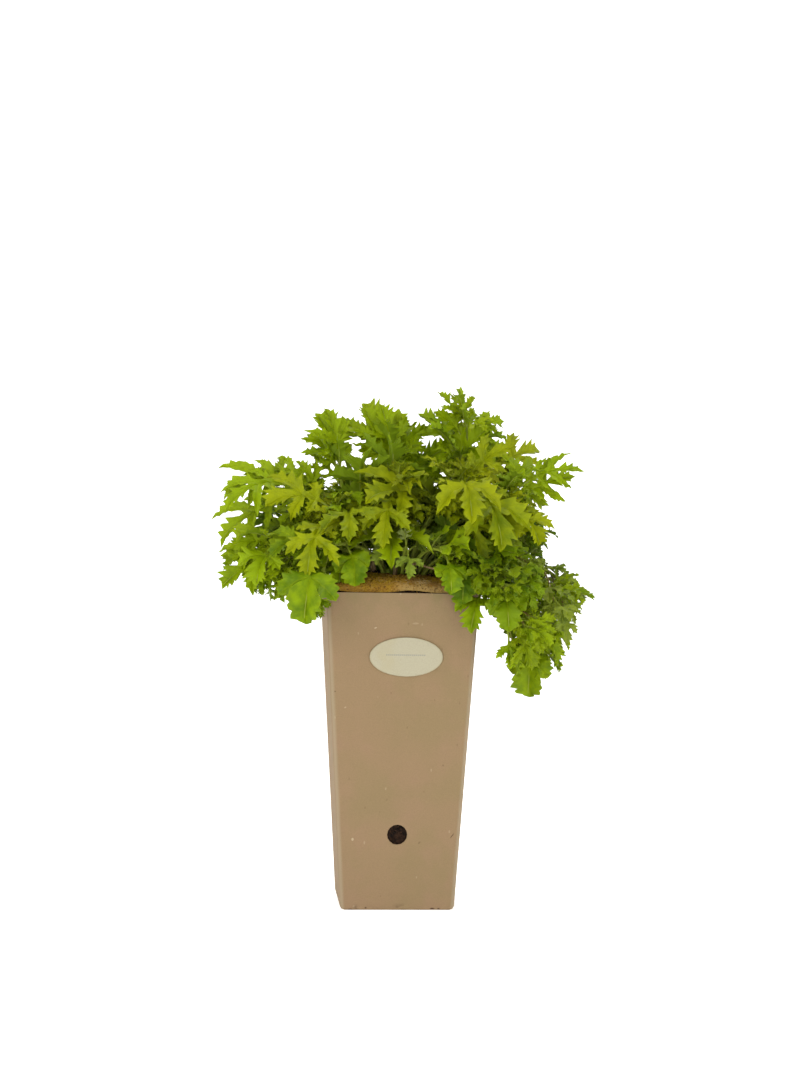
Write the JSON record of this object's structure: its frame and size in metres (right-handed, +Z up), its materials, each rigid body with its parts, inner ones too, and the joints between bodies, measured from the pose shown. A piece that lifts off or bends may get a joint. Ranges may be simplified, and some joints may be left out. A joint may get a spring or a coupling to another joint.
{
  "type": "potted white mugwort plant",
  "caption": "Leafy herb with deeply cut leaves that arch and trail over the rim of a tall tapered square card pot, with a fibre mulch mat and an oval label.",
  "frame": {"origin": "centre of the pot's flat base, on the ground", "axes": "+Z up, -Y towards the side with the label and the vent hole, +X to the viewer's right when facing that side"},
  "size_m": [0.2386, 0.1855, 0.3322],
  "materials": {
    "card": "matte",
    "label_paper": "satin",
    "mat_fibre": "matte",
    "compost": "matte",
    "dry_stem": "matte",
    "leaf_bright": "satin",
    "leaf_fresh": "satin",
    "leaf_deep": "satin",
    "leaf_grey": "satin"
  },
  "bodies": {
    "root": {"label": "label_paper", "mulch_mat": "mat_fibre", "old_stub_1": "dry_stem", "old_stub_2": "dry_stem", "old_stub_3": "dry_stem", "pot": "card", "soil": "compost", "stem_back": "leaf_fresh", "stem_back_left": "leaf_bright", "stem_back_low": "leaf_fresh", "stem_back_low_left": "leaf_deep", "stem_back_low_right": "leaf_deep", "stem_back_right": "leaf_fresh", "stem_front_centre": "leaf_bright", "stem_front_left": "leaf_fresh", "stem_front_low": "leaf_fresh", "stem_front_right": "leaf_bright", "stem_front_small": "leaf_grey", "stem_left_back": "leaf_deep", "stem_left_front": "leaf_bright", "stem_left_low": "leaf_fresh", "stem_over_corner": "leaf_deep", "stem_reach_left": "leaf_fresh", "stem_reach_right": "leaf_fresh", "stem_right_front": "leaf_bright", "stem_sprig_right": "leaf_deep", "stem_top_centre": "leaf_fresh", "stem_top_left": "leaf_fresh", "stem_top_mid": "leaf_bright", "stem_top_right": "leaf_fresh", "stem_trail_grey": "leaf_grey", "stem_trail_low": "leaf_fresh", "stem_trail_right": "leaf_fresh", "stem_upper_right": "leaf_bright"}
  },
  "joints": []
}
